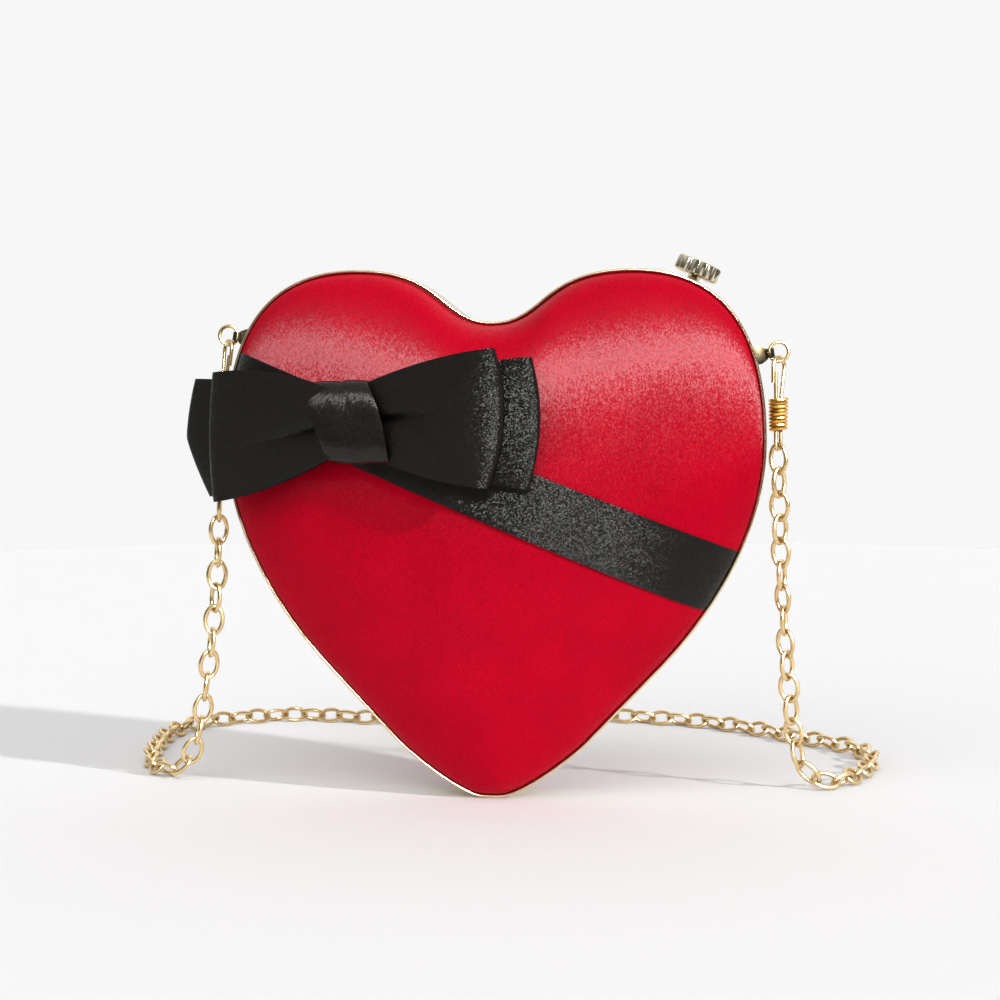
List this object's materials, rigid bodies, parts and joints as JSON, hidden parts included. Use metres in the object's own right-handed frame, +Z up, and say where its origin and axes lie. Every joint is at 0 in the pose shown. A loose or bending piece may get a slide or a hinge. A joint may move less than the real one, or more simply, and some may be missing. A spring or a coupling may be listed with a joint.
{
  "type": "heart shaped purse",
  "caption": "Heart shaped evening purse with a red satin lid, a black ribbon bow, a gold frame with a push clasp, and a chain strap.",
  "frame": {"origin": "under the heart's tip, in the middle of the flat that it stands on, in the plane where the halves meet", "axes": "+X to the right across the heart as seen from the bow's side, +Y from the lid through to the back, +Z up through the notch"},
  "size_m": [0.2387, 0.187, 0.1568],
  "materials": {
    "gold_frame": "polished pale gold plate",
    "gold_wire": "polished pale gold plate",
    "spring_wire": "bright amber gold",
    "red_satin": "satin",
    "black_ribbon": "satin ribbon",
    "lining_cloth": "matte",
    "shell_moulding": "moulded"
  },
  "bodies": {
    "purse": {"rear_frame": "gold_frame", "rear_shell": "shell_moulding", "rear_cover": "red_satin", "rear_lining": "lining_cloth", "rear_hinge_leaf": "gold_frame", "hinge_pin": "gold_wire", "clasp_housing": "gold_frame", "clasp_collar": "gold_frame", "clasp_spring": "spring_wire", "left_lug": "gold_frame", "right_lug": "gold_frame", "left_hook": "gold_wire", "right_hook": "gold_wire", "left_hook_spring": "spring_wire", "right_hook_spring": "spring_wire", "chain_right_drop": "gold_wire", "chain_right_floor": "gold_wire", "chain_back_run": "gold_wire", "chain_left_floor": "gold_wire", "chain_left_drop": "gold_wire"},
    "lid": {"front_frame": "gold_frame", "front_shell": "shell_moulding", "front_cover": "red_satin", "front_lining": "lining_cloth", "front_hinge_leaf": "gold_frame", "striker": "gold_frame", "ribbon_band": "black_ribbon", "bow_rear_loops": "black_ribbon", "bow_front_loops": "black_ribbon", "bow_knot": "black_ribbon"},
    "clasp": {"clasp_knob": "gold_frame", "clasp_latch": "gold_frame"},
    "left_strap_ring": {"left_ring": "gold_wire"},
    "right_strap_ring": {"right_ring": "gold_wire"},
    "left_hook_gate": {"left_gate": "gold_wire"},
    "right_hook_gate": {"right_gate": "gold_wire"}
  },
  "joints": [
    {"name": "lid_hinge", "type": "hinge", "parent": "purse", "child": "lid", "pos_m": [-0.03783, 0, 0.02675], "axis": [0.6884, 0, -0.7254], "range_deg": [0, 95]},
    {"name": "clasp_press", "type": "slide", "parent": "purse", "child": "clasp", "axis": [-0.4023, 0, -0.9155], "range_m": [0, 0.0012], "stiffness_N_per_m": 1500, "springref_m": -0.0006, "deforming": ["clasp_spring"]},
    {"name": "left_ring_turn", "type": "hinge", "parent": "purse", "child": "left_strap_ring", "pos_m": [-0.07939, 0.00228, 0.13365], "axis": [0, 1, 0], "continuous": true},
    {"name": "right_ring_turn", "type": "hinge", "parent": "purse", "child": "right_strap_ring", "pos_m": [0.08137, 0.00228, 0.1286], "axis": [0, 1, 0], "continuous": true},
    {"name": "left_gate_open", "type": "hinge", "parent": "purse", "child": "left_hook_gate", "pos_m": [-0.08091, 0.00125, 0.11385], "axis": [-0.8121, -0.5736, 0.1069], "range_deg": [0, 9], "stiffness_Nm_per_rad": 0.02, "springref_deg": -8.59},
    {"name": "right_gate_open", "type": "hinge", "parent": "purse", "child": "right_hook_gate", "pos_m": [0.08065, 0.00125, 0.10876], "axis": [-0.8192, 0.5736, 0], "range_deg": [0, 9], "stiffness_Nm_per_rad": 0.02, "springref_deg": -8.59}
  ]
}
